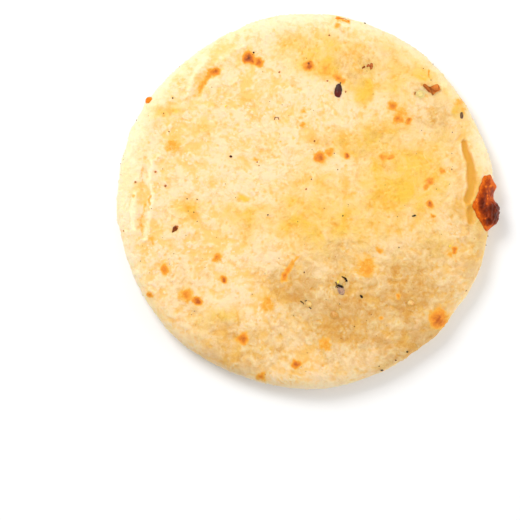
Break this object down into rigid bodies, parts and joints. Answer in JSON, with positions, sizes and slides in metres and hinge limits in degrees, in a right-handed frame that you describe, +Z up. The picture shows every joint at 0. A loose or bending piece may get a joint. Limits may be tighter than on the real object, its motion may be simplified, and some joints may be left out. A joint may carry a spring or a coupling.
{
  "type": "arepa corn cake",
  "caption": "Round flat griddle cake of corn dough with a rounded, folded rim, a crust flap and a scab of toasted cheese on the rim, for eating or for setting on a plate.",
  "frame": {"origin": "middle of the footprint, on the surface that the cake lies on", "axes": "+Z up out of the shown face, +X towards the toasted cheese, +Y towards the edge away from the viewer"},
  "size_m": [0.1234, 0.1202, 0.0115],
  "materials": {
    "corn_cake": "baked corn dough, satin where the butter soaked in",
    "toasted_cheese": "dark toasted cheese, greasy gloss"
  },
  "bodies": {
    "root": {"corn_cake": "corn_cake", "toasted_cheese": "toasted_cheese"}
  },
  "joints": []
}
